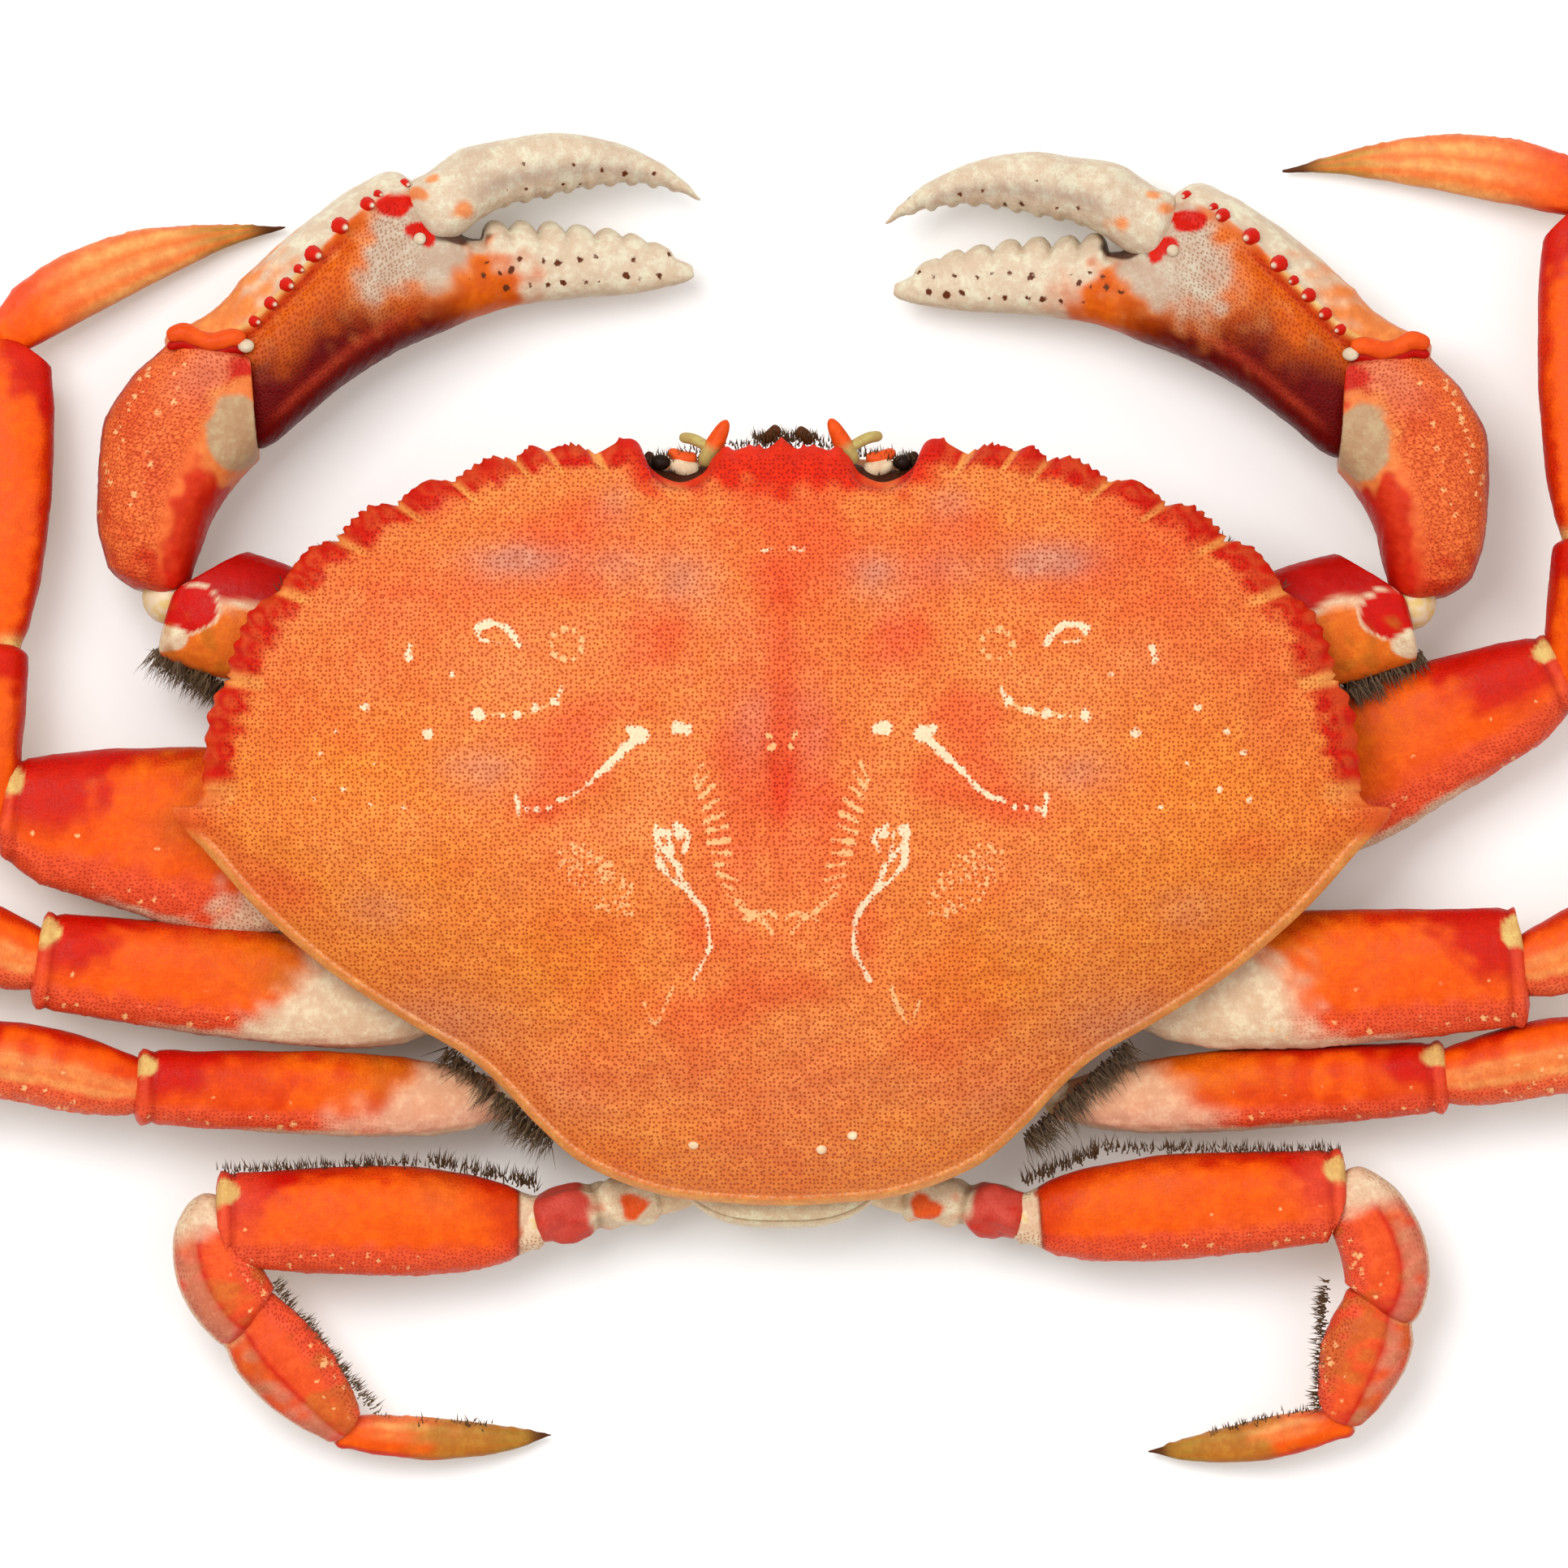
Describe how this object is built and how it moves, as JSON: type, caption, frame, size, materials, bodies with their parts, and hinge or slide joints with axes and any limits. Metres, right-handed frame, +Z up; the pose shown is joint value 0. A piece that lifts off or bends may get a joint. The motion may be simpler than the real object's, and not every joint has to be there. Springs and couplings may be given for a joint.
{
  "type": "cooked crab",
  "caption": "Whole boiled crab lying on its belly: wide domed carapace with toothed front margin, two curved claws and bent walking legs, in orange and red shell.",
  "frame": {"origin": "on the flat of the belly, which rests on the table, below the middle of the carapace", "axes": "+X to the crab's right (the image's right, seen from above), +Y to its front, +Z up through the carapace"},
  "size_m": [0.3592, 0.1924, 0.0494],
  "materials": {
    "orange_shell": "semi-gloss boiled shell, orange",
    "red_shell": "semi-gloss boiled shell, red",
    "cream_shell": "semi-gloss boiled shell, cream",
    "dark_eye": "glossy, nearly black"
  },
  "bodies": {
    "root": {"carapace": "orange_shell", "thorax": "cream_shell", "apron": "cream_shell", "face": "cream_shell", "jaw_foot_left": "cream_shell", "jaw_foot_right": "cream_shell", "eye_left": "dark_eye", "antenna_left": "orange_shell", "claw_left_base": "cream_shell", "claw_left_merus": "red_shell", "claw_left_carpus": "red_shell", "claw_left_palm": "red_shell", "claw_left_finger": "cream_shell", "eye_right": "dark_eye", "antenna_right": "orange_shell", "claw_right_base": "cream_shell", "claw_right_merus": "red_shell", "claw_right_carpus": "red_shell", "claw_right_palm": "red_shell", "claw_right_finger": "cream_shell", "leg_1_left_base": "cream_shell", "leg_1_left_merus": "red_shell", "leg_1_left_carpus": "red_shell", "leg_1_left_propodus": "red_shell", "leg_1_left_dactyl": "orange_shell", "leg_1_right_base": "cream_shell", "leg_1_right_merus": "red_shell", "leg_1_right_carpus": "red_shell", "leg_1_right_propodus": "red_shell", "leg_1_right_dactyl": "orange_shell", "leg_2_left_base": "cream_shell", "leg_2_left_merus": "red_shell", "leg_2_left_carpus": "red_shell", "leg_2_left_propodus": "red_shell", "leg_2_left_dactyl": "orange_shell", "leg_2_right_base": "cream_shell", "leg_2_right_merus": "red_shell", "leg_2_right_carpus": "red_shell", "leg_2_right_propodus": "red_shell", "leg_2_right_dactyl": "orange_shell", "leg_3_left_base": "cream_shell", "leg_3_left_merus": "red_shell", "leg_3_left_carpus": "red_shell", "leg_3_left_propodus": "red_shell", "leg_3_left_dactyl": "orange_shell", "leg_3_right_base": "cream_shell", "leg_3_right_merus": "red_shell", "leg_3_right_carpus": "red_shell", "leg_3_right_propodus": "red_shell", "leg_3_right_dactyl": "orange_shell", "leg_4_left_base": "cream_shell", "leg_4_left_merus": "red_shell", "leg_4_left_carpus": "red_shell", "leg_4_left_propodus": "red_shell", "leg_4_left_dactyl": "orange_shell", "leg_4_right_base": "cream_shell", "leg_4_right_merus": "red_shell", "leg_4_right_carpus": "red_shell", "leg_4_right_propodus": "red_shell", "leg_4_right_dactyl": "orange_shell"}
  },
  "joints": []
}
